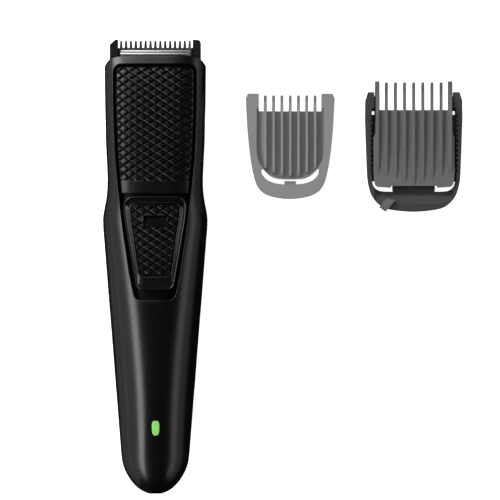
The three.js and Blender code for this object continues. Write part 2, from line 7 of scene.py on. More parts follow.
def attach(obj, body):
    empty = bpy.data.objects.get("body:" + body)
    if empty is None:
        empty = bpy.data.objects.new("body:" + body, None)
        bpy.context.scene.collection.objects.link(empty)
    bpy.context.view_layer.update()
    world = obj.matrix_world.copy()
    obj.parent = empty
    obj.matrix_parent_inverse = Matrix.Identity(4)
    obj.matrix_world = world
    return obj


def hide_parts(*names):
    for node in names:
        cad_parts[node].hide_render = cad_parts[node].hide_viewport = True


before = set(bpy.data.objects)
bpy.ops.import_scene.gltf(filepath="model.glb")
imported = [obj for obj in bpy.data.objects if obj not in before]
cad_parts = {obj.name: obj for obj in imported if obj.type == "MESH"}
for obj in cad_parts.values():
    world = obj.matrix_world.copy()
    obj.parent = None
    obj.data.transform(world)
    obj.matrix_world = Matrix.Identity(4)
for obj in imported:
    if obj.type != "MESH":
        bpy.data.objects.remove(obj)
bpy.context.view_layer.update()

MM = 0.001

# ------------------------------------------------------------------ handle form (mm), the same tables as the solids
HALF_WIDTH = [(-81.7, 2.4), (-80.7, 4.8), (-79.6, 6.4), (-77.5, 8.4), (-75.3, 9.9), (-73.2, 11.0), (-69.9, 11.97), (-66, 12.4),
              (-62.4, 12.69), (-55.2, 13.27), (-48, 13.82), (-40.8, 14.42), (-33.6, 14.97), (-26.4, 15.54), (-19.2, 16.1),
              (-12, 16.71), (-4.8, 17.27), (2.4, 17.83), (9.6, 18.4), (13.2, 18.71), (16.8, 18.84), (20.4, 18.39), (24, 17.7),
              (27.6, 17.27), (31.2, 17.18), (38.4, 17.47), (45.6, 17.8), (52.8, 17.93), (60, 18.12), (67.2, 18.2), (70.8, 18.24),
              (72.3, 18.07), (73, 17.7), (73.7, 17.2), (74.4, 16.4), (74.9, 15.5), (75.2, 14.3), (75.6, 11.6), (75.9, 8.4), (76.1, 5.0)]
SQUARE = [(-81.7, 2.0), (-48, 2.05), (-12, 2.35), (16, 2.9), (30, 3.3), (45, 3.35), (66, 3.2), (72.6, 3.0), (76.1, 3.0)]
FRONT_Z = [(-81.7, 16.6), (-80.7, 18.4), (-79, 20.4), (-76, 22.2), (-72, 23.7), (-66, 25.1), (-56, 26.8), (-40, 29.0), (-25, 30.4),
           (-10, 31.0), (0, 31.0), (10, 30.6), (20, 29.7), (31, 28.6), (45, 27.5), (60, 25.6), (70, 23.4), (76.1, 20.6)]
BACK_Z = [(-81.7, 11.0), (-80.7, 9.0), (-79, 7.0), (-76, 4.9), (-72, 3.1), (-66, 1.7), (-56, 0.3), (-45, -0.35), (-20, -0.4),
          (8, -0.35), (20, 0.2), (31, 0.8), (45, 1.8), (60, 3.2), (70, 4.7), (76.1, 6.0)]
WINDOW = [(-12, 7.0), (-9.8, 7.4), (-6.9, 8.1), (-4.8, 8.5), (-1.2, 9.2), (4.2, 9.95), (11.4, 11.05), (18.6, 11.95), (22.2, 12.4),
          (26.9, 13.0), (33, 13.6), (38.4, 14.1), (49.2, 14.65), (60, 14.95), (72.8, 15.0)]
WINDOW_TOP = 72.8
SLIDER = [(-8.4, 6.0), (-6, 6.9), (0.6, 8.1), (10, 9.75), (21.4, 11.25), (25.3, 11.1)]
PAD = [(-3.3, 3.9), (-1.5, 5.6), (0.6, 6.0), (10, 7.2), (20.4, 8.5), (22.5, 8.4)]
PART_LINE = [(-90, 18.6), (-80.2, 18.6), (-77, 17.6), (-72, 16.0), (-66, 15.2), (72.6, 15.2), (73.2, 16.6), (90, 16.6)]
SPLIT_Y = 26.1
HOUSING_TOP = 72.6


def curve(table):
    """Monotone cubic through a table, for arrays."""
    x = np.array([p[0] for p in table], float)
    y = np.array([p[1] for p in table], float)
    d = np.diff(y) / np.diff(x)
    m = np.zeros(len(x))
    m[0], m[-1] = d[0], d[-1]
    for i in range(1, len(x) - 1):
        m[i] = 0 if d[i - 1] * d[i] <= 0 else 2 * d[i - 1] * d[i] / (d[i - 1] + d[i])

    def f(v):
        v = np.clip(np.asarray(v, float), x[0], x[-1])
        i = np.clip(np.searchsorted(x, v, side="right") - 1, 0, len(x) - 2)
        h = x[i + 1] - x[i]
        t = (v - x[i]) / h
        t2, t3 = t * t, t * t * t
        return y[i] * (2 * t3 - 3 * t2 + 1) + m[i] * h * (t3 - 2 * t2 + t) + y[i + 1] * (3 * t2 - 2 * t3) + m[i + 1] * h * (t3 - t2)
    return f


# the shoulders trim the front shell in plan; its face runs on to them without narrowing
SKIN_WIDTH = [r for r in HALF_WIDTH if r[0] <= 70.8] + [(73.0, 18.15), (76.5, 17.95)]
half_width, front_z, back_z, square = curve(SKIN_WIDTH), curve(FRONT_Z), curve(BACK_Z), curve(SQUARE)


def part_z(y):
    return np.interp(y, [p[0] for p in PART_LINE], [p[1] for p in PART_LINE])


def ring_point(t, y, d):
    """A point of the handle's skin at angle t round the section at y, offset by d."""
    t, y, d = np.broadcast_arrays(np.asarray(t, float), np.asarray(y, float), np.asarray(d, float))
    w = np.maximum(half_width(y) + d, 0.4)
    zf, zb = front_z(y) + d, back_z(y) - d
    zm = zb + (zf - zb) * 0.47
    c, s = np.cos(t), np.sin(t)
    up = s >= 0
    e = 2 / np.where(up, square(y), 0.5 * square(y) + 1.35)
    x = w * np.sign(c) * np.abs(c) ** e
    z = zm + np.where(up, zf - zm, zb - zm) * np.abs(s) ** e
    return np.stack([x, y, np.maximum(z, -np.minimum(d, 0))], axis=-1)


def skin_z(x, y, d=0.0):
    """Height of the front skin over (x, y)."""
    w = half_width(y) + d
    zf, zb = front_z(y) + d, back_z(y) - d
    zm = zb + (zf - zb) * 0.47
    n = square(y)
    return zm + (zf - zm) * np.clip(1 - np.clip(np.abs(x) / w, 0, 1) ** n, 0, 1) ** (1 / n)


def angle_of(x, y):
    """Section angle of the front skin over (x, y)."""
    c = np.clip(np.abs(x) / half_width(y), 0, 1) ** (square(y) / 2)
    return np.where(x >= 0, np.arccos(c), math.pi - np.arccos(c))


def split_angle(y, gap):
    """Section angle where the skin meets the parting line."""
    zf, zb = front_z(y), back_z(y)
    zm = zb + (zf - zb) * 0.47
    h = part_z(y) + gap - zm
    n = square(y)
    return np.where(h >= 0, np.arcsin(np.clip(h / (zf - zm), 0, 1) ** (n / 2)), -np.arcsin(np.clip(-h / (zm - zb), 0, 1) ** ((0.5 * n + 1.35) / 2)))


def tapered(table, y0, y1, grow, rt, rb, n=24, c=7):
    """Closed outline symmetric in x, counter-clockwise from its foot's right corner; corners rounded."""
    f = curve(table)
    a, b = y0 - grow, y1 + grow
    w = lambda y: f(np.clip(y, y0, y1)) + grow
    right = []
    for i in range(c + 1):
        t = i / c * math.pi / 2
        right.append((float(w(a + rb)) - rb + rb * math.sin(t), a + rb - rb * math.cos(t)))
    for i in range(1, n):
        y = a + rb + (b - rt - a - rb) * i / n
        right.append((float(w(y)), y))
    for i in range(c + 1):
        t = i / c * math.pi / 2
        right.append((float(w(b - rt)) - rt + rt * math.cos(t), b - rt + rt * math.sin(t)))
    return np.array(right + [(-x, y) for x, y in reversed(right)])


def dist_to(poly, x, y):
    """Distance from points to a closed outline, positive inside by use (points are inside)."""
    p = np.stack([x.ravel(), y.ravel()], 1)
    best = np.full(len(p), 1e9)
    q = np.roll(poly, -1, axis=0)
    for a, b in zip(poly, q):
        ab = b - a
        L = float(ab @ ab)
        if L < 1e-12:
            continue
        t = np.clip(((p - a) @ ab) / L, 0, 1)
        e = p - (a + t[:, None] * ab)
        best = np.minimum(best, np.hypot(e[:, 0], e[:, 1]))
    return best.reshape(x.shape)


# ------------------------------------------------------------------ mesh makers
def mesh_object(name, verts, faces, smooth=True, sharp=None):
    me = bpy.data.meshes.new(name)
    me.from_pydata((np.asarray(verts, float) * MM).tolist(), [], [tuple(int(i) for i in f) for f in faces])
    me.validate(clean_customdata=False)
    me.update()
    ob = bpy.data.objects.new(name, me)
    bpy.context.scene.collection.objects.link(ob)
    if smooth:
        me.shade_smooth() if hasattr(me, "shade_smooth") else None
        for p in me.polygons:
            p.use_smooth = True
    if sharp:
        me.set_sharp_from_angle(angle=math.radians(sharp))
    return ob


def grid_faces(rows, cols, wrap=False, off=0, flip=False):
    i = np.arange(rows - 1)[:, None]
    j = np.arange(cols if wrap else cols - 1)[None, :]
    a = (i * cols + j).ravel()
    b = (i * cols + (j + 1) % cols).ravel()
    f = np.stack([a, b, b + cols, a + cols], 1) + off
    return f[:, ::-1] if flip else f


def loops_object(name, loops, cap_first=False, cap_last=False, flip=False, sharp=35):
    """Skins a list of closed loops of equal length."""
    v = np.concatenate(loops)
    n = len(loops[0])
    faces = [tuple(f) for f in grid_faces(len(loops), n, wrap=True, flip=flip)]
    extra = []
    for k, on in ((0, cap_first), (len(loops) - 1, cap_last)):
        if on:
            ci = len(v) + len(extra)
            extra.append(loops[k].mean(0))
            for j in range(n):
                a, b = k * n + j, k * n + (j + 1) % n
                up = (k == 0) != flip
                faces.append((ci, b, a) if up else (ci, a, b))
    if extra:
        v = np.concatenate([v, np.array(extra)])
    return mesh_object(name, v, faces, sharp=sharp)


def outline_loop(poly, d, zfun=skin_z):
    return np.column_stack([poly, zfun(poly[:, 0], poly[:, 1], d)])


def flat_loop(poly, z):
    return np.column_stack([poly, np.full(len(poly), float(z))])


def field_object(name, table, y0, y1, rt, rb, nx, ny, zfun, depth, ycut=None, sharp=50):
    """A row grid filling a tapered outline, its top at zfun(x, y, distance to the edge), with a wall down to depth."""
    f = curve(table)
    lo, hi = (y0, y1) if ycut is None else ycut
    ys = np.linspace(0, 1, ny)
    ys = lo + (hi - lo) * ys
    w = f(ys)
    top = ys > y1 - rt
    bot = ys < y0 + rb
    w = np.where(top, float(f(y1 - rt)) - rt + np.sqrt(np.maximum(rt ** 2 - (ys - (y1 - rt)) ** 2, 0)), w)
    w = np.where(bot, float(f(y0 + rb)) - rb + np.sqrt(np.maximum(rb ** 2 - ((y0 + rb) - ys) ** 2, 0)), w)
    u = np.linspace(-1, 1, nx)
    X = w[:, None] * u[None, :]
    Y = np.repeat(ys[:, None], nx, 1)
    poly = np.concatenate([np.stack([w, ys], 1), np.stack([-w, ys], 1)[::-1]])
    D = dist_to(poly[::2] if len(poly) > 400 else poly, X, Y)
    Z = zfun(X, Y, D)
    v = np.stack([X, Y, Z], -1).reshape(-1, 3)
    faces = list(map(tuple, grid_faces(ny, nx)))
    # wall
    ring = [i * nx + (nx - 1) for i in range(ny)] + [(ny - 1) * nx + j for j in range(nx - 2, -1, -1)] + [i * nx for i in range(ny - 2, -1, -1)] + list(range(1, nx - 1))
    base = len(v)
    low = v[ring].copy()
    low[:, 2] = skin_z(low[:, 0], low[:, 1], depth)
    low[:, 2] = np.minimum(low[:, 2], v[ring][:, 2] - 0.05)
    v = np.concatenate([v, low])
    n = len(ring)
    for k in range(n):
        a, b = ring[k], ring[(k + 1) % n]
        faces.append((a, base + k, base + (k + 1) % n, b))
    return mesh_object(name, v, faces, sharp=sharp)


# ------------------------------------------------------------------ materials
def new_mat(name, color, rough, metal=0.0, spec=0.5, grain=0.0, grain_scale=5000.0, rough_var=0.05, col_var=0.08,
            scratch=0.0, emission=None, strength=0.0, coat=0.0, sub=0.0, aniso_axis=None, wear=0.0):
    """Principled material with procedural grain, roughness and colour variation in object space."""
    m = bpy.data.materials.new(name)
    m.use_nodes = True
    nt = m.node_tree
    bsdf = nt.nodes["Principled BSDF"]
    bsdf.inputs["Metallic"].default_value = metal
    bsdf.inputs["Specular IOR Level"].default_value = spec
    bsdf.inputs["Coat Weight"].default_value = coat
    bsdf.inputs["Coat Roughness"].default_value = 0.12
    co = nt.nodes.new("ShaderNodeTexCoord")
    big = nt.nodes.new("ShaderNodeTexNoise")
    big.inputs["Scale"].default_value = 90.0
    big.inputs["Detail"].default_value = 6.0
    nt.links.new(co.outputs["Object"], big.inputs["Vector"])
    ramp = nt.nodes.new("ShaderNodeMapRange")
    ramp.inputs["From Min"].default_value = 0.3
    ramp.inputs["From Max"].default_value = 0.7
    ramp.inputs["To Min"].default_value = max(rough - rough_var, 0.02)
    ramp.inputs["To Max"].default_value = min(rough + rough_var, 1.0)
    nt.links.new(big.outputs["Fac"], ramp.inputs["Value"])
    nt.links.new(ramp.outputs["Result"], bsdf.inputs["Roughness"])
    mix = nt.nodes.new("ShaderNodeMix")
    mix.data_type = "RGBA"
    mix.inputs["A"].default_value = (*[c * (1 - col_var) for c in color], 1)
    mix.inputs["B"].default_value = (*[min(c * (1 + col_var), 1) for c in color], 1)
    nt.links.new(big.outputs["Fac"], mix.inputs["Factor"])
    last = mix.outputs["Result"]
    if wear:
        geo = nt.nodes.new("ShaderNodeNewGeometry")
        edge = nt.nodes.new("ShaderNodeMapRange")
        edge.inputs["From Min"].default_value = 0.52
        edge.inputs["From Max"].default_value = 0.62
        edge.inputs["To Min"].default_value = 0.0
        edge.inputs["To Max"].default_value = wear
        nt.links.new(geo.outputs["Pointiness"], edge.inputs["Value"])
        mw = nt.nodes.new("ShaderNodeMix")
        mw.data_type = "RGBA"
        nt.links.new(edge.outputs["Result"], mw.inputs["Factor"])
        nt.links.new(last, mw.inputs["A"])
        mw.inputs["B"].default_value = (*[min(c * 2.2 + 0.03, 1) for c in color], 1)
        last = mw.outputs["Result"]
    nt.links.new(last, bsdf.inputs["Base Color"])
    height = None
    if grain:
        fine = nt.nodes.new("ShaderNodeTexNoise")
        fine.inputs["Scale"].default_value = grain_scale
        fine.inputs["Detail"].default_value = 3.0
        if aniso_axis is not None:
            mp = nt.nodes.new("ShaderNodeMapping")
            mp.inputs["Scale"].default_value = aniso_axis
            nt.links.new(co.outputs["Object"], mp.inputs["Vector"])
            nt.links.new(mp.outputs["Vector"], fine.inputs["Vector"])
        else:
            nt.links.new(co.outputs["Object"], fine.inputs["Vector"])
        bump = nt.nodes.new("ShaderNodeBump")
        bump.inputs["Strength"].default_value = grain
        bump.inputs["Distance"].default_value = 0.00004
        nt.links.new(fine.outputs["Fac"], bump.inputs["Height"])
        nt.links.new(bump.outputs["Normal"], bsdf.inputs["Normal"])
    if emission:
        bsdf.inputs["Emission Color"].default_value = (*emission, 1)
        bsdf.inputs["Emission Strength"].default_value = strength
    return m


M_BODY = new_mat("body_satin", (0.0026, 0.0026, 0.0028), 0.27, grain=0.12, grain_scale=5200, rough_var=0.02, col_var=0.1)
M_TRACK = new_mat("track_black", (0.001, 0.001, 0.0012), 0.5, spec=0.1, grain=0.1, rough_var=0.03)
M_GRIP = new_mat("grip_black", (0.0025, 0.0025, 0.0027), 0.30, spec=0.36, grain=0.25, grain_scale=7000, rough_var=0.05)
M_SLIDER = new_mat("slider_satin", (0.004, 0.004, 0.0043), 0.26, grain=0.12, rough_var=0.03)
M_HOLDER = new_mat("holder_black", (0.006, 0.006, 0.0065), 0.33, grain=0.15, rough_var=0.04)
M_BLADE = new_mat("blade_ground", (0.30, 0.30, 0.31), 0.34, metal=1.0, grain=0.06, grain_scale=900, aniso_axis=(1, 14, 1), rough_var=0.05, col_var=0.06)
M_BLADE_DARK = new_mat("blade_dark", (0.16, 0.16, 0.165), 0.42, metal=0.5, grain=0.06, grain_scale=900, aniso_axis=(1, 14, 1), rough_var=0.05)
M_BAR = new_mat("cutter_bar", (0.34, 0.34, 0.345), 0.28, metal=1.0, grain=0.05, grain_scale=900, rough_var=0.04)
# painted shade: a darker matt black laid on the grip's grooves, the slider's top chamfer and the thumb notch's floor,
# where only shade makes the plastic look darker
M_PAINTED_SHADE = new_mat("groove_painted_shade", (0.0012, 0.0012, 0.0013), 0.6, spec=0.06, grain=0.2, grain_scale=7000, rough_var=0.03)
M_STEEL = new_mat("steel_plain", (0.5, 0.5, 0.52), 0.3, metal=1.0, grain=0.3, grain_scale=2500, rough_var=0.08)
M_INNER = new_mat("inner_plastic", (0.03, 0.03, 0.032), 0.5, grain=0.2, rough_var=0.05)
M_RUBBER = new_mat("seal_rubber", (0.02, 0.02, 0.02), 0.8, grain=0.3, grain_scale=3000)
M_PCB = new_mat("board_mask", (0.015, 0.10, 0.04), 0.4, grain=0.2, grain_scale=1500, col_var=0.25)
M_COPPER = new_mat("copper_wire", (0.6, 0.26, 0.1), 0.3, metal=1.0, grain=0.5, grain_scale=2500)
M_CELL = new_mat("cell_sleeve", (0.05, 0.14, 0.3), 0.35, grain=0.1)
M_COMB_L = new_mat("comb_light", (0.218, 0.218, 0.222), 0.38, grain=0.25, grain_scale=4500, rough_var=0.04, col_var=0.07)
M_SOLE_D = new_mat("comb_sole_dark", (0.122, 0.122, 0.126), 0.38, grain=0.25, grain_scale=4500, rough_var=0.04, col_var=0.08)
M_COMB_D = new_mat("comb_dark", (0.042, 0.042, 0.0445), 0.36, grain=0.25, grain_scale=4500, rough_var=0.04, col_var=0.08)
M_LEVER = new_mat("lever_grey", (0.115, 0.115, 0.119), 0.4, grain=0.25, grain_scale=4500)
M_LED = new_mat("led_lens", (0.05, 0.16, 0.03), 0.3, grain=0.1, grain_scale=2500, emission=(0.22, 0.58, 0.13), strength=0.92)


def finish_piece(ob, body, mat, slot, *nodes):
    ob.data.materials.clear()
    ob.data.materials.append(mat)
    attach(ob, body)
    if nodes:
        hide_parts(*nodes)
    return ob


# ------------------------------------------------------------------ front shell
N_BOT, N_COR, N_SIDE, N_TOP = 12, 10, 84, 22


def window_half(grow):
    """Right half of the window's outline from the middle of its foot to the middle of its top."""
    f = curve(WINDOW)
    a, b, rt, rb = -12.0 - grow, WINDOW_TOP + grow, 2.9 + grow, 3.0 + grow
    w = lambda y: float(f(min(max(y, -12.0), WINDOW_TOP))) + grow
    out = [((w(a + rb) - rb) * i / N_BOT, a) for i in range(N_BOT)]
    for i in range(N_COR):
        t = i / N_COR * math.pi / 2
        out.append((w(a + rb) - rb + rb * math.sin(t), a + rb - rb * math.cos(t)))
    for i in range(N_SIDE):
        y = a + rb + (b - rt - a - rb) * i / N_SIDE
        out.append((w(y), y))
    for i in range(N_COR):
        t = i / N_COR * math.pi / 2
        out.append((w(b - rt) - rt + rt * math.cos(t), b - rt + rt * math.sin(t)))
    for i in range(N_TOP + 1):
        out.append(((w(b - rt) - rt) * (1 - i / N_TOP), b))
    return np.array(out)


def both_halves(h):
    left = h[1:-1][::-1].copy()
    left[:, 0] *= -1
    return np.concatenate([h, left])


def front_shell():
    lip = 0.4
    w_in, w_out = both_halves(window_half(0.0)), both_halves(window_half(lip))
    loops = [outline_loop(w_in, -2.4), outline_loop(w_in, -1.2), outline_loop(w_in, -lip)]
    for a in (20, 40, 60, 80):
        s = math.sin(math.radians(a))
        c = 1 - math.cos(math.radians(a))
        loops.append(outline_loop(w_in + (w_out - w_in) * c, -lip + lip * s))
    # outer boundary in (angle, y): round the tail, up the flank along the parting line, over the shoulder, to the top's middle
    y_tail, y_top = -80.33, 75.78
    v = np.linspace(0, 1, N_BOT + N_COR + N_SIDE)
    yy = y_tail + (72.4 - y_tail) * ((1 - np.cos(v * math.pi / 2)) ** 0.85)
    ysh = 72.4 + (y_top - 72.4) * np.sin(np.linspace(0, 1, N_COR + 2)[1:] * math.pi / 2) ** 0.9
    yr = np.concatenate([yy, ysh])
    trim = curve(HALF_WIDTH)
    tr = split_angle(yr, 0.15)
    tr = np.where(yr > 71.6, np.maximum(tr, np.arccos(np.clip(trim(yr) / half_width(yr), 0, 1) ** (square(yr) / 2))), tr)
    tr[0] = math.pi / 2
    tt = tr[-1] + (math.pi / 2 - tr[-1]) * np.linspace(0, 1, N_TOP + 1)[1:]
    tr, yr = np.concatenate([tr, tt]), np.concatenate([yr, np.full(N_TOP, y_top)])
    topness = np.concatenate([np.zeros(len(v)), np.linspace(0, 1, N_COR + 2)[1:], np.ones(N_TOP)])
    tb, yb = np.concatenate([tr, (math.pi - tr[1:-1])[::-1]]), np.concatenate([yr, yr[1:-1][::-1]])
    top = np.concatenate([topness, topness[1:-1][::-1]])
    ta, ya = angle_of(w_out[:, 0], w_out[:, 1]), w_out[:, 1]
    K = 90
    for k in range(K + 1):
        u = (k / K) ** 1.25
        loops.append(ring_point(ta + (tb - ta) * u, ya + (yb - ya) * u, 0.0))
    edge = ring_point(tb, yb, 0.0)
    out = np.column_stack([np.cos(tb) * (1 - np.sin(tb) ** 6), np.maximum(np.sin(tb), 0.35)])
    out /= np.linalg.norm(out, axis=1)[:, None]
    for a in (20, 40, 60, 80, 90):
        s, c = math.sin(math.radians(a)), 1 - math.cos(math.radians(a))
        p = ring_point(tb, yb, -0.14 * (1 - top) * c)
        p[:, 0] += 0.30 * s * top * out[:, 0]
        p[:, 1] += 0.30 * s * top * out[:, 1]
        p[:, 2] -= 0.30 * c * top
        loops.append(p)
    low = ring_point(tb, yb, -1.8)
    wall = loops[-1].copy()
    wall[:, 2] = np.minimum(wall[:, 2], 16.7)
    loops.append(np.where(top[:, None] > 0, wall, low))
    return loops_object("front_shell_skin", loops, sharp=40)


body = front_shell()
finish_piece(body, "handle", M_BODY, "body_black", "front_shell")


# ------------------------------------------------------------------ rear shell
def rear_shell():
    tail = -81.7
    s = np.linspace(0, 1, 70)
    ys = np.concatenate([tail + 6.5 * s ** 1.6, np.linspace(-75, 70.5, 190)[1:], [71.2, 71.9, 72.3, 72.52]])
    ds = np.concatenate([np.zeros(len(ys) - 1), [-0.08]])
    ys = np.concatenate([ys, [HOUSING_TOP, HOUSING_TOP, 70, 62]])
    ds = np.concatenate([ds, [-0.25, -2.0, -2.0, -2.0]])
    n = 200
    verts = []
    for y, d in zip(ys, ds):
        a = float(split_angle(y, -0.15))
        if y < -80.33:
            a = math.pi / 2
        t0, t1 = math.pi - a, 2 * math.pi + a
        t = np.linspace(t0, t1, n)
        p = ring_point(t, y, d)
        ledge_a, ledge_b = p[0].copy(), p[-1].copy()
        if a < math.pi / 2 - 1e-6:
            k = 0.10
            for q, e in ((ledge_a, p[0]), (ledge_b, p[-1])):
                q[0] = e[0] - math.copysign(min(1.7, abs(e[0])), e[0])
                q[2] = e[2]
        verts.append(np.concatenate([[ledge_a], p, [ledge_b]]))
    v = np.array(verts)
    flat = v.reshape(-1, 3)
    # pocket round the charging socket
    x, y, z = flat[:, 0], flat[:, 1], flat[:, 2]
    inside = (np.abs(x) < 5.0) & (z > 5.35) & (z < 11.85) & (y < -70)
    flat[inside, 1] = -70.5
    for bx, by in ((-11.2, 55), (11.2, 55), (-8.2, -72.2), (8.2, -72.2)):
        r = np.hypot(x - bx, y - by)
        near = (r < 1.95) & (z < 12)
        flat[near, 2] += 1.6
    cap = flat[: n + 2].mean(0)
    faces = list(map(tuple, grid_faces(len(ys), n + 2)))
    ci = len(flat)
    flat = np.concatenate([flat, [cap]])
    for j in range(n + 1):
        faces.append((ci, j + 1, j))
    return mesh_object("rear_shell_skin", flat, faces, sharp=40)


finish_piece(rear_shell(), "handle", M_BODY, "body_black", "rear_shell")


def tail_y(x, z):
    """Where the foot end's skin lies over each (x, z)."""
    lo, hi = np.full(len(x), -81.7), np.full(len(x), -70.0)
    for _ in range(40):
        y = (lo + hi) / 2
        zf, zb, n = front_z(y), back_z(y), square(y)
        zm = zb + (zf - zb) * 0.47
        k = np.where(z >= zm, n, 0.5 * n + 1.35)
        h = np.where(z >= zm, zf - zm, zm - zb)
        inside = (np.abs(x) / half_width(y)) ** k + (np.abs(z - zm) / h) ** k <= 1
        hi, lo = np.where(inside, y, hi), np.where(inside, lo, y)
    return hi


def inlet_surround():
    loops = []
    a = np.linspace(0, 2 * math.pi, 72, endpoint=False)
    c, s = np.cos(a), np.sin(a)
    for g, d in ((0.95, 0.35), (0.86, -0.02), (0.72, -0.10), (0.14, -0.10), (0.0, 0.0), (0.0, None)):
        x = (4.86 + g) * np.sign(c) * np.abs(c) ** 0.34
        z = 8.55 + (3.1 + g) * np.sign(s) * np.abs(s) ** 0.34
        y = np.full(len(a), -78.2) if d is None else np.minimum(tail_y(x, z) + d, -78.3)
        loops.append(np.column_stack([x, y, z]))
    return loops_object("charging_inlet_surround", loops, sharp=40)


finish_piece(inlet_surround(), "handle", M_BODY, "body_black")


# ------------------------------------------------------------------ grip panel with its raised diamond pattern
COL, ROW = 2.25, 2.92


def diamonds(x, y, x0=0.0, y0=0.0):
    """0 in the grooves, 1 on a diamond's crown: two families of grooves crossing at about 33 degrees."""
    a = (x - x0) / (2 * COL) + (y - y0) / ROW
    b = (x - x0) / (2 * COL) - (y - y0) / ROW
    da = np.abs(a - np.round(a))
    db = np.abs(b - np.round(b))
    e = np.minimum(da, db) * 2  # 0 on a groove, 1 at a crown
    return e


def smooth(a, b, v):
    t = np.clip((v - a) / (b - a), 0, 1)
    return t * t * (3 - 2 * t)


def paint_groove_shade(ob, x0, y0, floor=None, foot=-99.0):
    """Painted shade: the groove floors and the groove walls that do not face the foot's left side take a darker matt
    black, standing in for their shade and hiding the lights' reflections on them; floor adds further faces painted the
    same.
    """
    n = len(ob.data.polygons)
    c = np.empty(n * 3)
    ob.data.polygons.foreach_get("center", c)
    c = c.reshape(n, 3) / MM
    x, y, h = c[:, 0], c[:, 1], 0.04
    e = diamonds(x, y, x0, y0)
    gx = diamonds(x + h, y, x0, y0) - diamonds(x - h, y, x0, y0)
    gy = diamonds(x, y + h, x0, y0) - diamonds(x, y - h, x0, y0)
    # painted shade mask: groove floors, and groove walls not facing the lower left, which would otherwise catch the
    # lights
    painted_shade = (e < 0.06) | ((e < 0.42) & ~((gx > 0) & (gy > 0)))
    painted_shade &= y > foot
    if floor is not None:
        painted_shade |= floor(x, y)
    ob.data.materials.append(M_PAINTED_SHADE)
    ob.data.polygons.foreach_set("material_index", painted_shade.astype(np.int32))


def panel_z(x, y, dist):
    e = diamonds(x, y)
    tex = 0.36 * (np.clip((e - 0.03) / 0.38, 0, 1) - 1) + 0.07 * (np.clip(e, 0, 1) - 0.5)
    mask = smooth(0.35, 0.9, dist) * smooth(30.6, 31.4, y)
    edge = -0.45 * (1 - smooth(0.0, 0.4, dist)) ** 2
    return skin_z(x, y, -0.55) + tex * mask + edge


PANEL = [(y, w - 0.9) for y, w in WINDOW]
grip = field_object("grip_panel_skin", PANEL, -11.1, 71.9, 2.2, 2.2, 240, 420, panel_z, -3.0, ycut=(SPLIT_Y + 0.1, 71.9))
finish_piece(grip, "handle", M_GRIP, "grip", "grip_panel")
# paints shade into the grip panel's grooves above y = 30.9, where the pattern is
paint_groove_shade(grip, 0.0, 0.0, foot=30.9)


def track_z(x, y, dist):
    return skin_z(x, y, -2.3)


TRACK = [(y, w + 0.9) for y, w in WINDOW]
track = field_object("slider_track_skin", TRACK, -12.9, 73.7, 3.0, 3.0, 60, 90, track_z, -3.2, ycut=(-12.9, 29.0))
finish_piece(track, "handle", M_TRACK, "body_black", "slider_track")
ledge = field_object("grip_panel_seat", TRACK, -12.9, 73.7, 3.4, 3.0, 60, 120, lambda x, y, d: skin_z(x, y, -2.25), -3.2, ycut=(28.0, 73.7))
finish_piece(ledge, "handle", M_TRACK, "grip")


# ------------------------------------------------------------------ power slider
def slider_surface(x, y, d=0.0):
    """The slider is a little flatter across than the handle."""
    return skin_z(x * 0.9, y, 0) + d


def slider_frame():
    o = lambda g: tapered(SLIDER, -8.4, 25.3, g, 3.4 + g * 0.6, 2.6 + g * 0.6, n=40, c=10)
    q = lambda g: tapered(PAD, -3.3, 22.5, g, 2.4 + g * 0.5, 2.2 + g * 0.5, n=40, c=10)
    S = slider_surface
    L = [outline_loop(o(0), -1.3), outline_loop(o(0.0), -1.0, S), outline_loop(o(0.0), -0.5, S), outline_loop(o(-0.08), -0.26, S),
         outline_loop(o(-0.2), -0.12, S), outline_loop(o(-0.32), -0.08, S), outline_loop(o(-0.44), -0.16, S), outline_loop(o(-0.62), -0.44, S), outline_loop(o(-0.72), -0.46, S)]
    a, b = o(-0.72), q(0.62)
    up = (np.clip((a[:, 1] - 21.5) / 2.0, 0, 1))[:, None]
    for k in range(1, 9):
        u = k / 8
        ring = a + (b - a) * u
        z = (1 - up) * (-0.52 + 0.60 * u) + up * (-0.56 + 0.64 * max(0.0, (u - 0.62) / 0.38))
        ring = outline_loop(ring, 0.0, S)
        ring[:, 2] += z[:, 0]
        L.append(ring)
    L += [outline_loop(q(0.56), 0.34, S), outline_loop(q(0.5), 0.42, S), outline_loop(q(0.42), 0.44, S), outline_loop(q(0.34), 0.40, S), outline_loop(q(0.24), 0.16, S), outline_loop(q(0.2), -0.6, S)]
    return loops_object("power_slider_frame_skin", L, flip=True, sharp=28), len(a), up[:, 0]


slider, slider_n, slider_top_shade = slider_frame()
finish_piece(slider, "power_slider", M_SLIDER, "slider_grey", "power_slider_frame")
# painted shade: the top chamfer of the slider frame takes the dark matt black in place of the shadow in a deeper trough
slider.data.materials.append(M_PAINTED_SHADE)
for row in range(7, 15):
    for j in range(slider_n):
        if slider_top_shade[j] > 0.4:
            slider.data.polygons[row * slider_n + j].material_index = 1


